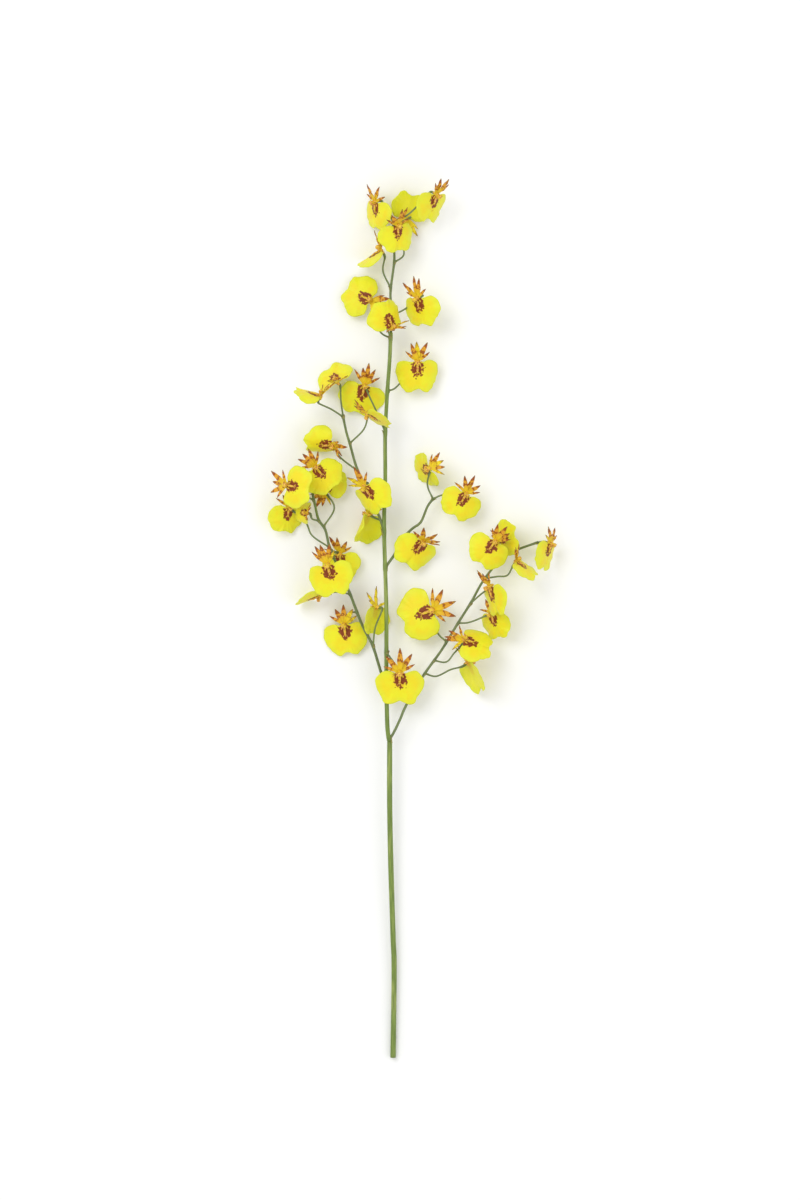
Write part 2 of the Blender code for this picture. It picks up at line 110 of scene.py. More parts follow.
# throat: the flower's place.  turn: (roll, pitch, yaw) in degrees.  At roll 0 the lip points to -Y and
# 90 turns it to +X; pitch lowers its tip; yaw turns the face to the side, and past 90 it faces down.
# fold: how far the lip's sides bend back.  crown: how far the tepals lean forward.
# The stalk leaves the stem nearest to "joins" and passes through "bends".
Flower = namedtuple("Flower", "name throat turn size fold crown stem joins bends")
FLOWERS = (
    Flower("flower_01", (-34, 374, 20), (0, 10, -55), 0.90, 25, 20,
           "upper_stem", (-18, 358), ((-26, 367, 20),)),
    Flower("flower_02", (21, 380, 30), (-15, 10, 52), 0.92, 25, 25,
           "upper_stem", (-18, 356), ((-4, 362, 30), (10, 376, 30))),
    Flower("flower_03", (-5, 359, 9), (172, 12, 160), 0.85, 20, 0,
           "upper_stem", (-18, 351), ((-12, 355, 16),)),
    Flower("flower_04", (-14, 352, 32), (4, 8, 30), 0.86, 30, 30,
           "upper_stem", (-16, 319), ((-8, 328, 22),)),
    Flower("flower_05", (-29, 330, 20), (-58, 0, -76), 0.88, 20, 70,
           "upper_stem", (-20, 296), ((-27, 311, 21),)),
    Flower("flower_06", (-38, 285, 12), (-118, 10, -5), 0.93, 20, 10,
           "middle_stem", (-22, 251), ((-29, 256, 19), (-36, 271, 13))),
    Flower("flower_07", (4, 287, 28), (10, 8, -38), 0.93, 30, 10,
           "upper_stem", (-18, 272), ((-8, 277, 13),)),
    Flower("flower_08", (-19, 259, 36), (-165, -5, -32), 0.93, 55, 95,
           "middle_stem", (-21, 252), ()),
    Flower("flower_09", (4, 230, 20), (0, 8, 5), 0.99, 45, 10,
           "middle_stem", (-23, 203), ((-14, 208, 12),)),
    Flower("flower_10", (-68.5, 211.5, 19.2), (-150, 45, 5), 0.85, 25, 50,
           "left_upper_branch", (-63, 180), ((-65, 195, 20),)),
    Flower("flower_11", (-83, 198, 43), (-108, 0, -72), 0.85, 30, 80,
           "left_upper_branch", (-63, 180), ((-74, 187, 20),)),
    Flower("flower_12", (-43.5, 209, 10.2), (-14, 8, 8), 0.98, 25, 25,
           "middle_stem", (-25, 166), ((-33, 185, 17), (-40, 200, 16))),
    Flower("flower_13", (-41, 182, 38), (58, 0, -76), 0.82, 15, 0,
           "left_upper_branch", (-57, 156), ((-44, 169, 28),)),
    Flower("flower_14", (-72, 155, 18.2), (-86, 5, 40), 0.92, 75, 60,
           "left_upper_branch", (-50, 131), ((-66, 144, 14),)),
    Flower("flower_15", (-44, 117, 40), (35, 5, -35), 0.98, 45, 10,
           "left_upper_branch", (-35, 101), ((-41, 109, 26),)),
    Flower("flower_16", (-40, 92, 10.8), (-24, 8, -124), 0.95, 60, 0,
           "middle_stem", (-26, 78), ((-29, 86, 16),)),
    Flower("flower_17", (-114, 118, 35), (80, -35, 0), 0.92, 25, 10,
           "left_lower_branch", (-90, 105), ((-102, 111, 22),)),
    Flower("flower_18", (-112, 99, 14), (-8, 8, 30), 0.85, 30, 0,
           "left_lower_branch", (-76, 62), ((-91, 73, 12), (-97, 85, 9))),
    Flower("flower_19", (-88, 135, 29), (38, 4, 0), 0.93, 30, 30,
           "left_lower_branch", (-91, 126), ()),
    Flower("flower_20", (-96, 93, 31), (-100, 50, 0), 0.60, 70, 30,
           "left_lower_branch", (-84, 86), ((-91, 88, 24),)),
    Flower("flower_21", (-80, 113, 11), (150, -13, 2), 0.83, 20, 20,
           "left_lower_branch", (-80, 81), ((-71, 98, 15),)),
    Flower("flower_22", (-66, 57, 11), (5, 15, -12), 0.85, 25, 15,
           "left_lower_branch", (-74, 59), ()),
    Flower("flower_23", (-77, 47, 37.5), (14, 5, -8), 1.03, 25, 15,
           "left_lower_branch", (-72, 54), ((-74, 51, 22),)),
    Flower("flower_24", (-86, 18, 13.4), (-69, -20, 80), 0.74, 20, 0,
           "left_lower_branch", (-57, 20), ((-69, 22, 11),)),
    Flower("flower_25", (-62, -7, 8.6), (5, 5, -8), 1.00, 25, 5,
           "left_lower_branch", (-50, 4), ((-57, 3, 9),)),
    Flower("flower_26", (-33, 8, 16), (-12, 5, -128), 0.88, 25, 20,
           "left_lower_branch", (-36, -27), ((-34, -10, 24),)),
    Flower("flower_27", (15, 134, 23), (-63, 55, 0), 0.85, 35, -30,
           "right_middle_branch", (18, 106), ((13, 119, 17),)),
    Flower("flower_28", (48, 111, 23), (-28, 8, 10), 0.88, 25, 10,
           "right_middle_branch", (18, 106), ((28, 110, 16),)),
    Flower("flower_29", (9, 68, 21.5), (-33, 8, 25), 0.98, 35, 40,
           "right_middle_branch", (-7, 74), ((2, 72, 15),)),
    Flower("flower_30", (18, 6, 19), (-69, 5, 0), 1.10, 15, 10,
           "right_lower_branch", (28, -22), ((22, -14, 9),)),
    Flower("flower_31", (74, 68, 30), (-35, 5, 5), 0.92, 20, 20,
           "right_lower_branch", (84, 54), ((80, 61, 22),)),
    Flower("flower_32", (78, 69, 13), (105, -50, 0), 0.80, 20, 0,
           "right_lower_branch", (89, 58), ((84, 63, 13),)),
    Flower("flower_33", (124, 66, 22), (-13, 0, 62), 0.88, 25, 0,
           "right_lower_branch", (112, 67), ()),
    Flower("flower_34", (93, 50, 37), (55, 0, 68), 0.80, 20, 50,
           "right_lower_branch", (66, 34), ((76, 36, 17), (85, 37, 18))),
    Flower("flower_35", (69, 27, 35), (12, 0, -62), 0.95, 25, 20,
           "right_lower_branch", (52, 11), ((60, 19, 20),)),
    Flower("flower_36", (71, 3, 17), (12, 5, -45), 0.85, 25, 0,
           "right_lower_branch", (41, -6), ((52, -5, 13),)),
    Flower("flower_37", (45, -21, 32), (75, 0, 40), 0.95, 25, 10,
           "right_lower_branch", (20, -41), ((30, -41, 24), (37, -33, 31))),
    Flower("flower_38", (50, -42, 18.8), (28, 0, 112), 1.00, 20, 0,
           "right_lower_branch", (11, -52), ((21, -54, 14), (34, -48, 14))),
    Flower("flower_39", (-12, -50, 28), (0, 10, 0), 1.05, 15, 5,
           "middle_stem", (-24, -32), ((-19, -39, 22),)),
)

# ---- lip, at size 1: throat at the origin, tip along -Y, face along +Z
LIP_EDGE = (                  # right half of the outline, from the throat round to the notch
    (0, 0.8), (5, -0.6), (9.5, 0.6), (14.5, 0), (19, -3.6), (21.5, -9), (21.2, -14.5),
    (18.8, -19.2), (16.4, -22), (13.8, -25.6), (10.4, -27.9), (6.6, -28.1), (3.2, -26.8), (0, -26),
)
LIP_CENTRE = (0, -12)
LIP_HALF_WIDTH = 21.5
LIP_DROOP = 0.002             # how fast the lip curves back toward its tip, per millimetre
LIP_RINGS = 15
LIP_EDGE_STEPS = 5            # points on the edge between two points of the outline
LIP_THICKNESS = 0.55
LIP_GROOVE = 0.35             # depth of the crease down the lip's middle
LIP_GROOVE_WIDTH = 2.6
LIP_GROOVE_START = 12.0       # how far from the throat it reaches its full depth
LIP_RING_CROWDING = 0.85      # below 1, the rings lie closer together near the edge
RUFFLE_HEIGHT = 0.7
RUFFLE_WAVES = (4, 7, 11, 17)  # waves round the lip's edge, each weaker than the one before
EDGE_WANDER = 0.034           # how unevenly the edge runs, as a share of the radius
LIP_BROAD = (0.95, 1.04)      # how broad a lip may be, against the outline
BLOTCH_HALF_WIDTH = 5.8
BLOTCH_LENGTH = 14.2
BLOTCH_MIDDLE = 0.4           # of its length below the throat
BLOTCH_REACH = 0.62           # of its length, from the middle to either end
BLOTCH_DEPTH = 3.0            # how firmly its middle is filled
BLOTCH_TOP = 1.5              # below the throat, where it starts to show
RIDGE_HALF_WIDTH = 1.5        # the pale ridge down the blotch's middle
RIDGE_TAPER = 0.45            # where it starts to narrow, as a share of the blotch's length
RIDGE_END = 0.8               # where it fades out
RIDGE_FADE = 8.0

# ---- tepals: the dorsal sepal, two petals and two thin lateral sepals
TEPAL_FAN = (                 # (degrees from +Y, length, width)
    (0, 20.5, 5.0), (34, 19.5, 4.8), (-34, 19.5, 4.8), (70, 16.5, 2.9), (-70, 16.5, 2.9),
)
TEPAL_START = 0.6
TEPAL_SET_BACK = -0.6
TEPAL_ROWS = 18
TEPAL_COLUMNS = 8
TEPAL_THICKNESS = 0.5
TEPAL_CLAW = 2.2              # half width at the throat
TEPAL_SPREAD = 7.0            # degrees that a tepal may stand off its place in the fan
TEPAL_NOD = 16.0              # degrees that it may lean more or less than the others
TEPAL_BUNCH = (0.66, 1.02)    # how closed a flower's fan may be
TEPAL_KEEL = 0.16             # how deeply a tepal is folded along its middle
TEPAL_WAVE = 0.45
TEPAL_WAVES = 2.3             # waves along each side, and how far one side's lag the other's
TEPAL_WAVE_LAG = 1.3
TEPAL_TIP_CURL = 2.4
TEPAL_CURLS = (-0.6, 1.0)     # share of that curl, a negative one forward
TEPAL_LENGTHS = (0.8, 1.08)   # share of the length in the fan
TEPAL_RUSTS = (0.25, 1.0)     # how brown a tepal is
TEPAL_TWIST = 16.0            # degrees
TEPAL_SWAY = 1.2              # how far a tip may bend aside
PATTERN_STEP = 3.7            # moves the pattern on from one tepal to the next
TEPAL_SEED = 1000             # keeps the tepals' random draws apart from the lip's

# ---- column and callus
COLUMN_PROFILE = (            # (along +Z, radius)
    (-4.5, 0.9), (-3, 1.5), (-1, 2.2), (1, 2.3), (3, 1.95), (4.4, 2.1), (5.4, 2.35), (6.2, 2.0),
    (6.8, 1.1), (7.0, 0.3),
)
COLUMN_SIDES = 16
COLUMN_LEAN = math.radians(14)
BUMP_SIDES = 12
BUMP_RINGS = 8
WINGS = (                     # (centre, half sizes, degrees turned about Z)
    ((-2.0, -0.6, 4.6), (2.3, 0.5, 1.7), -30),
    ((2.0, -0.6, 4.6), (2.3, 0.5, 1.7), 30),
)
CALLUS_BUMPS = (              # (centre, half sizes, degrees turned about Z)
    ((0, -5.6, 0.7), (1.2, 5.2, 1.1), 0),
    ((2.5, -3.2, 0.4), (0.7, 1.9, 0.7), 24),
    ((-2.5, -3.2, 0.4), (0.7, 1.9, 0.7), -24),
    ((1.4, -10.6, 0.2), (0.5, 1.1, 0.5), 30),
    ((-1.4, -10.6, 0.2), (0.5, 1.1, 0.5), -30),
)

# ---- stalks and stems
STALK_RADIUS = 0.78
STALK_STEP = 2.0
STALK_APPROACH = 8.0          # behind the throat, where a stalk that comes from behind turns to the flower
STALK_MEETS_COLUMN = 2.0      # behind the throat
STALK_SIDES = 10
STALK_AIM = 3                 # the step along a stalk that its bract points to
OVARY_LENGTH = 9.0
OVARY_RADIUS = 1.25
OVARY_BULGE = 0.75            # how much of a half wave the ovary's swelling takes
FOOT_LENGTH = 4.0             # where a stalk thickens toward its stem
FOOT_SWELL = 0.35
STEM_STEP = 3.0
STEM_SIDES = 20
STEM_UNEVEN = 0.035           # how far the radius wanders, as a share of it
WANDER_LENGTHS = (31, 13, 57)
NODE_SWELL = 0.16             # how much thicker a stem is where something grows from it
NODE_REACH = 3.0
MAIN_STEMS = ("lower_stem", "middle_stem")
BRACT_LENGTH = 3.6
BRANCH_BRACT_LENGTH = 8.0
BRACT_STEPS = 8               # faces along a bract and across it
BRACT_WRAP = 1.15             # half the angle that it takes up round the stem, in radians
BRACT_TAPER = 1.6
BRACT_START = 0.45            # share of its length below the stalk
BRACT_GAP = 0.25
BRACT_FLARE = 1.4             # how far its tip stands off
BRACT_THICKNESS = 0.3

# ---- camera, light and floor
VIEW_CENTRE = (-11.7, 14.85)  # in the drawing axes
VIEW_HEIGHT = 1.08            # metres from the bottom of the picture to its top
LENS = 180.0
SENSOR = 36.0
CLIP_END = 200.0              # metres
WORLD_STRENGTH = 0.8
LIGHTS = (                    # (name, place in metres, size in metres, watts)
    ("key", (-1.6, 1.4, 3.2), 2.0, 45),
    ("fill", (2.2, -1.0, 2.6), 2.5, 14),
)
FLOOR_SIZE = 60.0             # metres


# ---- shared geometry

def smooth_route(points, step):
    """Points about every step millimetres along a Catmull-Rom curve through the given ones."""
    knots = [Vector(point) for point in points]
    ends = [2 * knots[0] - knots[1]] + knots + [2 * knots[-1] - knots[-2]]
    route = [knots[0]]
    for before, start, stop, after in zip(ends, ends[1:], ends[2:], ends[3:]):
        count = max(1, round((stop - start).length / step))
        route += [spline_point(before, start, stop, after, i / count) for i in range(1, count + 1)]
    return route


def spline_point(before, start, stop, after, t):
    """The Catmull-Rom curve's point at t between start and stop."""
    return 0.5 * (2 * start + (stop - before) * t
                  + (2 * before - 5 * start + 4 * stop - after) * t ** 2
                  + (3 * start - before - 3 * stop + after) * t ** 3)


def place_on_stem(stem, near):
    """The stem's centre, direction and radius where it passes closest to near, seen from above."""
    route = smooth_route(stem.route, 1.0)
    last = len(route) - 1
    i = min(range(len(route)), key=lambda k: (route[k].xy - Vector(near)).length)
    axis = (route[min(i + 1, last)] - route[max(i - 1, 0)]).normalized()
    start, end = stem.radii
    return route[i], axis, start + (end - start) * i / last


def flower_pose(flower):
    roll, pitch, yaw = (math.radians(angle) for angle in flower.turn)
    turn = Matrix.Rotation(roll, 4, "Z") @ Matrix.Rotation(pitch, 4, "X") @ Matrix.Rotation(yaw, 4, "Y")
    return Matrix.Translation(Vector(flower.throat)) @ turn @ Matrix.Scale(flower.size, 4)


def stem_named(name):
    return next(stem for stem in STEMS if stem.name == name)


def stalk_route(flower):
    """The stalk's bends, from the middle of its stem to the column's back."""
    pose = flower_pose(flower)
    centre = place_on_stem(stem_named(flower.stem), flower.joins)[0]
    bends = [Vector(bend) for bend in flower.bends]
    last = pose.inverted() @ (bends[-1] if bends else centre)
    if last.z < 0:
        bends.append(pose @ Vector((0, 0, -STALK_APPROACH)))
    bends.append(pose @ Vector((0, 0, -STALK_MEETS_COLUMN)))
    return [centre] + bends


# ---- mesh helpers

def rest_on_surface(bm):
    """Petals that would reach through the surface bend and lie along it."""
    for vert in bm.verts:
        vert.co.z = max(vert.co.z, SURFACE_GAP * MM)


def finished(name, bm, materials):
    """Turns a bmesh in millimetres and drawing axes into a smooth-shaded piece in the row frame."""
    bm.transform(Matrix.Translation(SHIFT) @ Matrix.Scale(MM, 4))
    rest_on_surface(bm)
    data = bpy.data.meshes.new(name)
    bm.to_mesh(data)
    bm.free()
    data.shade_smooth()
    for material in materials:
        data.materials.append(material)
    piece = bpy.data.objects.new(name, data)
    bpy.context.scene.collection.objects.link(piece)
    return piece


def paint_layers(bm):
    """The two attributes that the materials read: flat place (mm, mm, seed) and three marks."""
    return bm.verts.layers.float_vector.new("flat"), bm.verts.layers.float_vector.new("mark")


def thicken(piece, thickness):
    shell = piece.modifiers.new("thickness", "SOLIDIFY")
    shell.thickness = thickness * MM
    shell.offset = 0
    shell.material_offset = 1
    shell.use_even_offset = False


def stitch(bm, rings, closed=True):
    """Faces between neighbouring rings of vertices."""
    for lower, upper in zip(rings, rings[1:]):
        count = len(lower)
        for j in range(count if closed else count - 1):
            k = (j + 1) % count
            bm.faces.new((lower[j], lower[k], upper[k], upper[j]))


def sweep(bm, route, radii, sides, seed, marks):
    """A capped tube of rings along the route, carried without twist."""
    flat, mark = paint_layers(bm)
    side = (route[1] - route[0]).orthogonal().normalized()
    rings = []
    length = 0.0
    last = len(route) - 1
    for i, (centre, radius) in enumerate(zip(route, radii)):
        axis = (route[min(i + 1, last)] - route[max(i - 1, 0)]).normalized()
        side = (side - side.dot(axis) * axis).normalized()
        up = axis.cross(side)
        length += (centre - route[max(i - 1, 0)]).length
        ring = []
        for j in range(sides):
            angle = math.tau * j / sides
            vert = bm.verts.new(centre + radius * (math.cos(angle) * side + math.sin(angle) * up))
            vert[flat] = (math.cos(angle) * radius, length, math.sin(angle) * radius + seed)
            vert[mark] = (i / last, marks[i], 0)
            ring.append(vert)
        rings.append(ring)
    stitch(bm, rings)
    for ring, level in ((rings[0], 0), (rings[-1], 1)):
        cap = bm.faces.new(ring)
        poked = bmesh.ops.poke(bm, faces=[cap])["verts"][0]
        poked[flat] = (0, level * length, seed)
        poked[mark] = (level, marks[-level], 1)
    bmesh.ops.recalc_face_normals(bm, faces=bm.faces)


# ---- lip

def lip_outline():
    half = [Vector(point) for point in LIP_EDGE]
    loop = half + [Vector((-point.x, point.y)) for point in half[-2:0:-1]]
    count = len(loop)
    outline = []
    for i in range(count):
        around = (loop[i - 1], loop[i], loop[(i + 1) % count], loop[(i + 2) % count])
        outline += [spline_point(*around, k / LIP_EDGE_STEPS) for k in range(LIP_EDGE_STEPS)]
    return outline


def lip_height(x, y, edge, ruffle):
    """How far a point of the flat lip stands in front of it, before its sides bend back."""
    groove = LIP_GROOVE * math.exp(-(x / LIP_GROOVE_WIDTH) ** 2) * min(1.0, max(0.0, -y / LIP_GROOVE_START))
    return ruffle * edge ** 3 - groove - LIP_DROOP * y * y


def bend_back(x, y, z, fold):
    """Bends the lip about the Y axis, so that its side edges turn back by fold degrees."""
    curl = math.radians(fold) / LIP_HALF_WIDTH
    angle = curl * x
    return Vector((math.sin(angle) * (1 / curl + z), y, math.cos(angle) * (1 / curl + z) - 1 / curl))


def blotch_marks(x, y):
    """How strongly the blotch and the pale ridge in it show at a point of the flat lip."""
    down = -y / BLOTCH_LENGTH
    outward = math.hypot(x / BLOTCH_HALF_WIDTH, (down - BLOTCH_MIDDLE) / BLOTCH_REACH)
    above = max(0.0, 1 + y / BLOTCH_TOP)
    blotch = BLOTCH_DEPTH * (1 - outward) - above
    ridge = 1 - max(0.0, down - RIDGE_TAPER) - abs(x) / RIDGE_HALF_WIDTH
    ridge -= RIDGE_FADE * max(0.0, down - RIDGE_END)
    return blotch, ridge


def make_lip(flower, seed, looks):
    rng = random.Random(seed)
    bm = bmesh.new()
    flat, mark = paint_layers(bm)
    outline = lip_outline()
    centre = Vector(LIP_CENTRE)
    phases = [rng.uniform(0, math.tau) for wave in RUFFLE_WAVES]
    wander = [rng.uniform(0, math.tau) for wave in RUFFLE_WAVES]
    broad = rng.uniform(*LIP_BROAD)
    pose = flower_pose(flower)

    def vertex(place, edge, ruffle):
        z = lip_height(place.x, place.y, edge, ruffle)
        vert = bm.verts.new(pose @ bend_back(place.x, place.y, z, flower.fold))
        vert[flat] = (place.x, place.y, seed)
        vert[mark] = (*blotch_marks(place.x, place.y), edge)
        return vert

    rings = []
    for ring in range(1, LIP_RINGS + 1):
        edge = (ring / LIP_RINGS) ** LIP_RING_CROWDING
        verts = []
        for j, rim in enumerate(outline):
            around = math.tau * j / len(outline)
            uneven = sum(math.sin(wave * around + phase) / (k + 1)
                         for k, (wave, phase) in enumerate(zip(RUFFLE_WAVES, wander)))
            ruffle = RUFFLE_HEIGHT * sum(math.sin(wave * around + phase) / (k + 1)
                                         for k, (wave, phase) in enumerate(zip(RUFFLE_WAVES, phases)))
            place = centre + (rim - centre) * edge * (1 + EDGE_WANDER * uneven * edge ** 2)
            place.x *= broad
            verts.append(vertex(place, edge, ruffle))
        rings.append(verts)
    stitch(bm, rings)
    middle = vertex(centre, 0, 0)
    inner = rings[0]
    for j, vert in enumerate(inner):
        bm.faces.new((middle, inner[(j + 1) % len(inner)], vert)[::-1])
    bmesh.ops.recalc_face_normals(bm, faces=bm.faces)
    face_forward(bm, pose)
    lip = finished(flower.name + "_lip", bm, looks)
    thicken(lip, LIP_THICKNESS)
    return lip


def face_forward(bm, pose):
    """Turns an open sheet's faces toward the flower's front."""
    front = pose.to_3x3() @ Vector((0, 0, 1))
    if sum(face.normal.dot(front) for face in bm.faces) < 0:
        bmesh.ops.reverse_faces(bm, faces=bm.faces)


# ---- tepals

def tepal_half_width(s, width):
    """Half width at s, from the claw at the throat to the point at the tip."""
    blade = width / 2 * math.sin(math.pi * s ** 0.8) ** 0.75 if 0 < s < 1 else 0.0
    return max(blade, TEPAL_CLAW * (1 - s) ** 3, 0.05)


def make_tepals(flower, seed, looks):
    rng = random.Random(seed + TEPAL_SEED)
    bm = bmesh.new()
    flat, mark = paint_layers(bm)
    pose = flower_pose(flower)
    bunch = rng.uniform(*TEPAL_BUNCH)
    for number, (angle, length, width) in enumerate(TEPAL_FAN):
        lean = math.radians(flower.crown + rng.uniform(-TEPAL_NOD, TEPAL_NOD))
        fan = math.radians(-angle * bunch - rng.uniform(-TEPAL_SPREAD, TEPAL_SPREAD))
        turn = pose @ Matrix.Rotation(lean, 4, "X") @ Matrix.Rotation(fan, 4, "Z")
        length *= rng.uniform(*TEPAL_LENGTHS)
        rust = rng.uniform(*TEPAL_RUSTS)
        phase = rng.uniform(0, math.tau)
        curl = TEPAL_TIP_CURL * rng.uniform(*TEPAL_CURLS)
        twist = math.radians(rng.uniform(-TEPAL_TWIST, TEPAL_TWIST))
        sway = rng.uniform(-TEPAL_SWAY, TEPAL_SWAY)
        rows = []
        for i in range(TEPAL_ROWS + 1):
            s = i / TEPAL_ROWS
            half = tepal_half_width(s, width)
            row = []
            for j in range(TEPAL_COLUMNS + 1):
                v = 2 * j / TEPAL_COLUMNS - 1
                lag = TEPAL_WAVE_LAG if v > 0 else 0
                wave = TEPAL_WAVE * math.sin(math.tau * TEPAL_WAVES * s + phase + lag) * v * v
                lift = TEPAL_KEEL * half * abs(v) * 2 + wave * math.sin(math.pi * s) - curl * s ** 2.5
                place = Vector((half * v * math.cos(twist * s) + sway * s * s,
                                TEPAL_START + s * length,
                                TEPAL_SET_BACK + lift + half * v * math.sin(twist * s)))
                vert = bm.verts.new(turn @ place)
                vert[flat] = (half * v, s * length, seed + PATTERN_STEP * number)
                vert[mark] = (s, abs(v), rust)
                row.append(vert)
            rows.append(row)
        stitch(bm, rows, closed=False)
    bmesh.ops.recalc_face_normals(bm, faces=bm.faces)
    face_forward(bm, pose)
    tepals = finished(flower.name + "_tepals", bm, looks)
    thicken(tepals, TEPAL_THICKNESS)
    return tepals


# ---- column

def make_column(flower, seed, looks):
    """The column with its two wings, and the callus of small bumps on the lip in front of it."""
    bm = bmesh.new()
    lean = Matrix.Rotation(COLUMN_LEAN, 4, "X")
    route = [lean @ Vector((0, 0, z)) for z, radius in COLUMN_PROFILE]
    sweep(bm, route, [radius for z, radius in COLUMN_PROFILE], COLUMN_SIDES, seed, [0] * len(route))
    flat = bm.verts.layers.float_vector["flat"]
    for centre, halves, turn in CALLUS_BUMPS + WINGS:
        shape = (Matrix.Translation(centre) @ Matrix.Rotation(math.radians(turn), 4, "Z")
                 @ Matrix.Diagonal((*halves, 1)))
        made = bmesh.ops.create_uvsphere(bm, u_segments=BUMP_SIDES, v_segments=BUMP_RINGS, radius=1,
                                         matrix=shape)
        for vert in made["verts"]:
            vert[flat] = (vert.co.x, vert.co.y, seed)
    bm.transform(flower_pose(flower))
    return finished(flower.name + "_column", bm, looks)


# ---- stalks and stems

def make_stalk(flower, seed, looks):
    route = smooth_route(stalk_route(flower), STALK_STEP)
    total = sum((b - a).length for a, b in zip(route, route[1:]))
    radii = []
    run = 0.0
    for i, point in enumerate(route):
        run += (point - route[max(i - 1, 0)]).length
        ovary = max(0.0, 1 - (total - run) / OVARY_LENGTH)
        foot = max(0.0, 1 - run / FOOT_LENGTH)
        swell = (OVARY_RADIUS - STALK_RADIUS) * math.sin(math.pi * ovary * OVARY_BULGE)
        radii.append(STALK_RADIUS + swell + FOOT_SWELL * foot)
    bm = bmesh.new()
    sweep(bm, route, radii, STALK_SIDES, seed, [0.0] * len(route))
    return finished(flower.name + "_stalk", bm, looks)


def growth_places(stem):
    """Where stalks and branches leave a stem: (centre, stem direction, stem radius, way out, is a branch)."""
    places = []
    for flower in FLOWERS:
        if flower.stem == stem.name:
            centre, axis, radius = place_on_stem(stem, flower.joins)
            toward = smooth_route(stalk_route(flower), STALK_STEP)[STALK_AIM]
            places.append((centre, axis, radius, toward - centre, False))
    for branch in STEMS:
        if branch.parent == stem.name and branch.route[0] != stem.route[-1]:
            centre, axis, radius = place_on_stem(stem, branch.route[0][:2])
            places.append((centre, axis, radius, Vector(branch.route[1]) - centre, True))
    return places


def make_stem(stem, seed, looks):
    rng = random.Random(seed)
    route = [Vector(point) for point in stem.route]
    points = smooth_route(route, STEM_STEP)
    places = growth_places(stem)
    phases = [rng.uniform(0, math.tau) for length in WANDER_LENGTHS]
    start, end = stem.radii
    radii = []
    marks = []
    run = 0.0
    for i, point in enumerate(points):
        run += (point - points[max(i - 1, 0)]).length
        wander = sum(math.sin(run / length + phase) for length, phase in zip(WANDER_LENGTHS, phases))
        wander /= len(WANDER_LENGTHS)
        near = min([(point - place[0]).length for place in places], default=math.inf)
        node = math.exp(-(near / NODE_REACH) ** 2)
        radius = start + (end - start) * i / (len(points) - 1)
        radii.append(radius * (1 + STEM_UNEVEN * wander + NODE_SWELL * node))
        marks.append(node)
    bm = bmesh.new()
    sweep(bm, points, radii, STEM_SIDES, seed, marks)
    return finished(stem.name + "_skin", bm, looks)


def make_bracts(stem, seed, looks):
    """A small papery scale under each stalk and branch, hugging the stem."""
    bm = bmesh.new()
    flat, mark = paint_layers(bm)
    for number, (centre, axis, radius, out, is_branch) in enumerate(growth_places(stem)):
        length = BRANCH_BRACT_LENGTH if is_branch else BRACT_LENGTH
        out = (out - out.dot(axis) * axis).normalized()
        side = axis.cross(out)
        rows = []
        for i in range(BRACT_STEPS + 1):
            s = i / BRACT_STEPS
            spread = BRACT_WRAP * (1 - s ** BRACT_TAPER)
            stand = radius + BRACT_GAP + BRACT_FLARE * s * s
            spine = centre + axis * (length * (s - BRACT_START))
            row = []
            for j in range(BRACT_STEPS + 1):
                v = 2 * j / BRACT_STEPS - 1
                angle = spread * v
                vert = bm.verts.new(spine + stand * (math.cos(angle) * out + math.sin(angle) * side))
                vert[flat] = (v * radius, s * length, seed + number)
                vert[mark] = (s, abs(v), 0)
                row.append(vert)
            rows.append(row)
        stitch(bm, rows, closed=False)
    bmesh.ops.recalc_face_normals(bm, faces=bm.faces)
    bracts = finished(stem.name + "_bracts", bm, looks)
    thicken(bracts, BRACT_THICKNESS)
    return bracts


# ---- looks

def srgb(red, green, blue):
    """A display colour of 0 to 255 as the linear colour that a shader takes."""
    return tuple((channel / 255) ** 2.2 for channel in (red, green, blue)) + (1.0,)


YELLOW = srgb(236, 231, 28)
YELLOW_DEEP = srgb(240, 218, 24)
# a yellow-green for the veins, also used as painted shade toward a lip's edge
VEIN_GREEN_AND_EDGE_SHADE = srgb(222, 230, 52)
# the back's own yellow, also lifted as painted light that stands in for light shining through the thin petal
BACK_YELLOW_AND_PAINTED_BACKLIGHT = srgb(240, 234, 54)
BLOTCH = srgb(152, 70, 6)
BLOTCH_DARK = srgb(104, 40, 4)
PEACH = srgb(236, 176, 84)
OCHRE = srgb(222, 160, 40)
OCHRE_BASE = srgb(234, 204, 34)
RUST = srgb(150, 68, 14)
TIP = srgb(98, 66, 30)
STEM_GREEN = srgb(126, 148, 66)
STEM_DARK = srgb(92, 112, 50)
STEM_PALE = srgb(176, 186, 104)
BRANCH_GREEN = srgb(118, 132, 84)
BRANCH_DARK = srgb(90, 104, 62)
BRACT_TAN = srgb(168, 160, 96)
CUT_PALE = srgb(222, 226, 176)


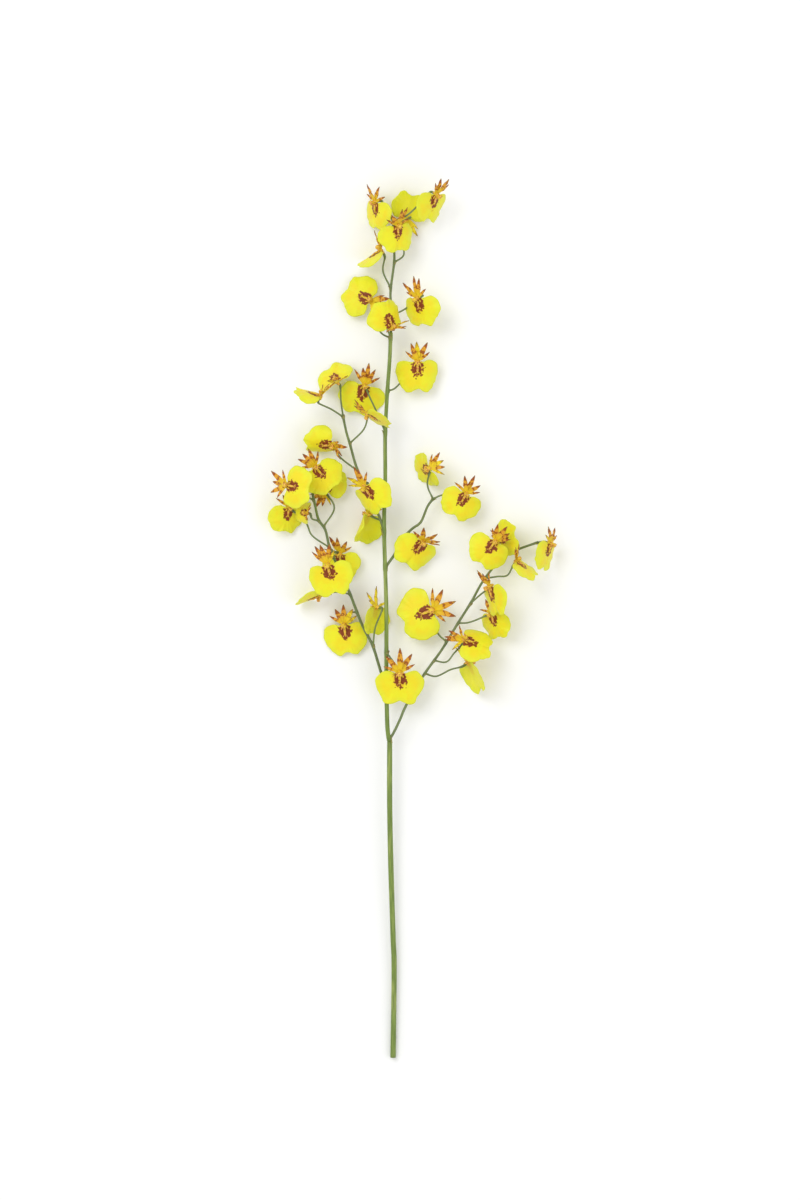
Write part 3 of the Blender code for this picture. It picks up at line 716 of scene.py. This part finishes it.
class Look:
    """A Principled material and short ways to add nodes to it."""

    def __init__(self, name, roughness, **uniform):
        self.material = bpy.data.materials.new(name)
        self.material.use_nodes = True
        self.tree = self.material.node_tree
        self.shader = self.tree.nodes["Principled BSDF"]
        self.shader.inputs["Roughness"].default_value = roughness
        for socket, value in uniform.items():
            self.shader.inputs[socket.replace("_", " ")].default_value = value

    def node(self, kind, **inputs):
        made = self.tree.nodes.new(kind)
        for socket, value in inputs.items():
            self.set(made.inputs[socket.replace("_", " ")], value)
        return made

    def set(self, socket, value):
        if isinstance(value, bpy.types.NodeSocket):
            self.tree.links.new(value, socket)
        else:
            socket.default_value = value

    def layer(self, name):
        made = self.tree.nodes.new("ShaderNodeAttribute")
        made.attribute_name = name
        return made.outputs["Vector"]

    def parts(self, vector):
        return self.node("ShaderNodeSeparateXYZ", Vector=vector).outputs

    def calc(self, operation, *values):
        made = self.tree.nodes.new("ShaderNodeMath")
        made.operation = operation
        for socket, value in zip(made.inputs, values):
            self.set(socket, value)
        return made.outputs[0]

    def stretched(self, vector, scale):
        return self.node("ShaderNodeMapping", Vector=vector, Scale=scale).outputs[0]

    def noise(self, vector, scale, detail=3.0):
        return self.node("ShaderNodeTexNoise", Vector=vector, Scale=scale, Detail=detail).outputs["Fac"]

    def step(self, value, low, high):
        """0 below low, 1 above high, smooth between."""
        made = self.node("ShaderNodeMapRange", Value=value)
        made.interpolation_type = "SMOOTHSTEP"
        made.inputs["From Min"].default_value = low
        made.inputs["From Max"].default_value = high
        return made.outputs[0]

    def mix(self, factor, first, second):
        made = self.tree.nodes.new("ShaderNodeMix")
        made.data_type = "RGBA"
        self.set(made.inputs["Factor"], factor)
        self.set(made.inputs[6], first)
        self.set(made.inputs[7], second)
        return made.outputs[2]

    def finish(self, colour, roughness, height, bump_distance, bump_strength=0.6):
        self.set(self.shader.inputs["Base Color"], colour)
        self.set(self.shader.inputs["Roughness"], roughness)
        bump = self.node("ShaderNodeBump", Height=height, Strength=bump_strength, Distance=bump_distance * MM)
        self.set(self.shader.inputs["Normal"], bump.outputs[0])
        return self.material


VEIN_CENTRE = 5.0             # behind the throat, where the veins fan out from
VEIN_COUNT = 62.0             # half waves per radian


def petal_veins(look, flat):
    """Fine veins that fan out from the throat, 0 between them and 1 on them."""
    place = look.parts(flat)
    angle = look.calc("ARCTAN2", place["X"], look.calc("SUBTRACT", VEIN_CENTRE, place["Y"]))
    wobble = look.calc("MULTIPLY", look.noise(flat, 0.16, 2.0), 0.32)
    wave = look.calc("SINE", look.calc("MULTIPLY", look.calc("ADD", angle, wobble), VEIN_COUNT))
    return look.calc("POWER", look.calc("ABSOLUTE", wave), 3.0)


def petal_yellow(look, flat, edge, veins, ground, deep):
    """Yellow that drifts in tone over the petal, greener along its veins, and greener toward its edge as
    painted shade.
    """
    colour = look.mix(look.step(look.noise(flat, 0.09, 2.0), 0.35, 0.65), ground, deep)
    # painted shade: the petal turns greener toward its turned-back edge
    colour = look.mix(look.calc("MULTIPLY", look.step(edge, 0.6, 1.0), 0.7), colour, VEIN_GREEN_AND_EDGE_SHADE)
    return look.mix(look.calc("MULTIPLY", veins, 0.16), colour, VEIN_GREEN_AND_EDGE_SHADE)


def lip_front_look():
    look = Look("lip_front", 0.5, Sheen_Weight=0.08, Specular_IOR_Level=0.35)
    flat = look.layer("flat")
    blotch, ridge, edge = look.parts(look.layer("mark"))
    veins = petal_veins(look, flat)
    colour = petal_yellow(look, flat, edge, veins, YELLOW, YELLOW_DEEP)
    patches = look.noise(flat, 0.42, 1.5)
    broken = look.calc("ADD", blotch, look.calc("MULTIPLY", look.calc("SUBTRACT", patches, 0.5), 5.0))
    glow = look.step(blotch, -0.3, 0.7)
    colour = look.mix(look.calc("MULTIPLY", glow, 0.6), colour, OCHRE)
    marks = look.step(broken, -0.1, 0.35)
    tone = look.mix(look.noise(flat, 0.9, 2.0), BLOTCH, BLOTCH_DARK)
    colour = look.mix(marks, colour, tone)
    crest = look.step(look.calc("ADD", ridge, look.calc("SUBTRACT", patches, 0.5)), 0.25, 0.6)
    colour = look.mix(crest, colour, PEACH)
    roughness = look.step(look.noise(flat, 0.7), -1.0, 2.2)
    grain = look.noise(flat, 2.2, 4.0)
    height = look.calc("ADD", look.calc("MULTIPLY", veins, 0.5), look.calc("MULTIPLY", grain, 0.6))
    return look.finish(colour, roughness, height, 0.22)


def lip_back_look():
    look = Look("lip_back", 0.6, Sheen_Weight=0.08, Specular_IOR_Level=0.3)
    flat = look.layer("flat")
    marks = look.parts(look.layer("mark"))
    veins = petal_veins(look, flat)
    # painted light: the back's ground yellow is lifted to stand in for light shining through the thin petal
    colour = petal_yellow(look, flat, marks["Z"], veins, BACK_YELLOW_AND_PAINTED_BACKLIGHT, YELLOW)
    colour = look.mix(look.calc("MULTIPLY", look.step(marks["X"], 0.0, 2.0), 0.35), colour, OCHRE)
    height = look.calc("ADD", veins, look.noise(flat, 2.0, 4.0))
    return look.finish(colour, look.step(look.noise(flat, 0.7), -1.4, 1.8), height, 0.25)


def tepal_look(name, ground, bar_strength):
    """Ochre petals barred across with red-brown, dark at the tip."""
    look = Look(name, 0.55, Sheen_Weight=0.08, Specular_IOR_Level=0.35)
    flat = look.layer("flat")
    marks = look.parts(look.layer("mark"))
    along, rust = marks["X"], marks["Z"]
    colour = look.mix(look.step(along, 0.15, 0.6), OCHRE_BASE, ground)
    wobble = look.calc("MULTIPLY", look.noise(flat, 0.45, 3.0), 10.0)
    bands = look.calc("SINE", look.calc("ADD", look.calc("MULTIPLY", along, 19.0), wobble))
    outer = look.calc("MULTIPLY", look.step(along, 0.25, 1.0), look.calc("ADD", rust, 0.7))
    bars = look.calc("MULTIPLY", look.step(look.calc("ADD", bands, outer), 0.55, 1.1),
                     look.step(along, 0.24, 0.42))
    colour = look.mix(look.calc("MULTIPLY", bars, bar_strength), colour, RUST)
    colour = look.mix(look.calc("MULTIPLY", look.step(along, 0.8, 0.98), 0.8), colour, TIP)
    streaks = look.noise(look.stretched(flat, (3.0, 0.25, 1.0)), 1.0, 3.0)
    height = look.calc("ADD", streaks, look.calc("MULTIPLY", look.noise(flat, 2.2), 0.4))
    return look.finish(colour, look.step(streaks, -1.2, 2.0), height, 0.25)


def column_look():
    look = Look("column_wax", 0.4, Specular_IOR_Level=0.45)
    flat = look.layer("flat")
    colour = look.mix(look.step(look.noise(flat, 0.35, 2.0), 0.35, 0.65), OCHRE_BASE, PEACH)
    spots = look.step(look.noise(flat, 0.85, 3.0), 0.53, 0.6)
    colour = look.mix(look.calc("MULTIPLY", spots, 0.85), colour, RUST)
    height = look.noise(flat, 1.6, 4.0)
    return look.finish(colour, look.step(height, -0.8, 2.0), height, 0.3)


def green_look(name, ground, dark, pale):
    """A satin stem: fine streaks along it, darker round its nodes, pale fibres on a cut end."""
    look = Look(name, 0.45, Specular_IOR_Level=0.45, Coat_Weight=0.06, Coat_Roughness=0.35)
    flat = look.layer("flat")
    marks = look.parts(look.layer("mark"))
    node, cut = marks["Y"], marks["Z"]
    streaks = look.noise(look.stretched(flat, (1.6, 0.045, 1.6)), 1.6, 4.0)
    colour = look.mix(look.step(streaks, 0.38, 0.64), ground, dark)
    blush = look.step(look.noise(look.stretched(flat, (0.2, 0.025, 0.2)), 1.0, 2.0), 0.5, 0.72)
    colour = look.mix(look.calc("MULTIPLY", blush, 0.5), colour, pale)
    colour = look.mix(look.calc("MULTIPLY", node, 0.45), colour, dark)
    fibres = look.mix(look.step(look.noise(flat, 2.5, 3.0), 0.45, 0.6), CUT_PALE, pale)
    colour = look.mix(look.step(cut, 0.2, 0.8), colour, fibres)
    return look.finish(colour, look.step(streaks, -1.2, 2.2), streaks, 0.2)


def bract_look():
    look = Look("bract_paper", 0.7, Specular_IOR_Level=0.3)
    flat = look.layer("flat")
    along = look.parts(look.layer("mark"))["X"]
    streaks = look.noise(look.stretched(flat, (2.6, 0.2, 1.0)), 1.4, 3.0)
    colour = look.mix(look.step(streaks, 0.35, 0.65), BRANCH_GREEN, BRACT_TAN)
    colour = look.mix(look.calc("MULTIPLY", along, 0.6), colour, TIP)
    return look.finish(colour, look.step(streaks, -1.8, 1.6), streaks, 0.2)


def floor_look():
    look = Look("studio_floor", 0.8, Specular_IOR_Level=0.1)
    place = look.node("ShaderNodeTexCoord").outputs["Object"]
    grain = look.noise(place, 3.0, 2.0)
    colour = look.mix(grain, srgb(250, 250, 250), srgb(252, 252, 251))
    return look.finish(colour, look.step(grain, -4.0, 1.6), grain, 0.05)


# ---- studio

def make_floor():
    bm = bmesh.new()
    bmesh.ops.create_grid(bm, x_segments=2, y_segments=2, size=FLOOR_SIZE / 2)
    data = bpy.data.meshes.new("floor")
    bm.to_mesh(data)
    bm.free()
    data.materials.append(floor_look())
    floor = bpy.data.objects.new("floor", data)
    floor.location.z = CAD_LOW.z
    bpy.context.scene.collection.objects.link(floor)


def make_light(name, place, size, power):
    """An area light that points at the origin."""
    lamp = bpy.data.lights.new(name, "AREA")
    lamp.size = size
    lamp.energy = power
    light = bpy.data.objects.new(name, lamp)
    light.location = place
    light.rotation_euler = (-Vector(place)).to_track_quat("-Z", "Y").to_euler()
    bpy.context.scene.collection.objects.link(light)


def make_world():
    world = bpy.data.worlds.new("studio")
    world.use_nodes = True
    background = world.node_tree.nodes["Background"]
    background.inputs["Color"].default_value = (1.0, 1.0, 1.0, 1)
    background.inputs["Strength"].default_value = WORLD_STRENGTH
    bpy.context.scene.world = world


def make_camera():
    lens = bpy.data.cameras.new("camera")
    lens.lens = LENS
    lens.sensor_width = SENSOR
    lens.clip_end = CLIP_END
    camera = bpy.data.objects.new("camera", lens)
    middle = (Vector((*VIEW_CENTRE, 0)) * MM) + SHIFT
    half_depth = (CAD_HIGH.z + CAD_LOW.z) / 2
    distance = VIEW_HEIGHT * LENS / SENSOR
    camera.location = (middle.x, middle.y, half_depth + distance)
    bpy.context.scene.collection.objects.link(camera)
    bpy.context.scene.camera = camera


def drawing_shift():
    """From the drawing axes to the row frame: the lower stem's place in each, compared."""
    stem = STEMS[0]
    ends = [Vector(stem.route[0]), Vector(stem.route[-1])]
    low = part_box(stem.name)[0]
    ways = [(Vector(stem.route[1]) - ends[0]).normalized(), (ends[1] - Vector(stem.route[-2])).normalized()]
    reach = [[radius * math.sqrt(1 - way[axis] ** 2) for axis in range(3)]
             for radius, way in zip(stem.radii, ways)]
    drawn_low = Vector(min(end[axis] - out[axis] for end, out in zip(ends, reach)) for axis in range(3))
    return low - drawn_low * MM


def place_piece(piece, node, replaces):
    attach(piece, "root")
    if replaces:
        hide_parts(node)


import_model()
CAD_LOW, CAD_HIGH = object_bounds()
SHIFT = drawing_shift()
bpy.context.scene.view_settings.view_transform = "Standard"

lip_looks = (lip_front_look(), lip_back_look())
tepal_looks = (tepal_look("tepal_front", OCHRE, 0.9), tepal_look("tepal_back", YELLOW_DEEP, 0.45))
column_looks = (column_look(),)
stem_looks = (green_look("stem_green", STEM_GREEN, STEM_DARK, STEM_PALE),)
branch_looks = (green_look("branch_green", BRANCH_GREEN, BRANCH_DARK, STEM_GREEN),)
bract_looks = (bract_look(),) * 2

for number, stem in enumerate(STEMS):
    looks = stem_looks if stem.name in MAIN_STEMS else branch_looks
    place_piece(make_stem(stem, SEED + number, looks), stem.name, True)
    if growth_places(stem):
        place_piece(make_bracts(stem, SEED + BRACT_SEED + number, bract_looks), stem.name, False)

for number, flower in enumerate(FLOWERS):
    seed = SEED + FLOWER_SEED + FLOWER_SEED_STEP * number
    place_piece(make_lip(flower, seed, lip_looks), flower.name, True)
    place_piece(make_tepals(flower, seed, tepal_looks), flower.name, False)
    place_piece(make_column(flower, seed, column_looks), flower.name, False)
    place_piece(make_stalk(flower, seed, branch_looks), flower.name, False)

make_floor()
make_world()
for light in LIGHTS:
    make_light(*light)
make_camera()
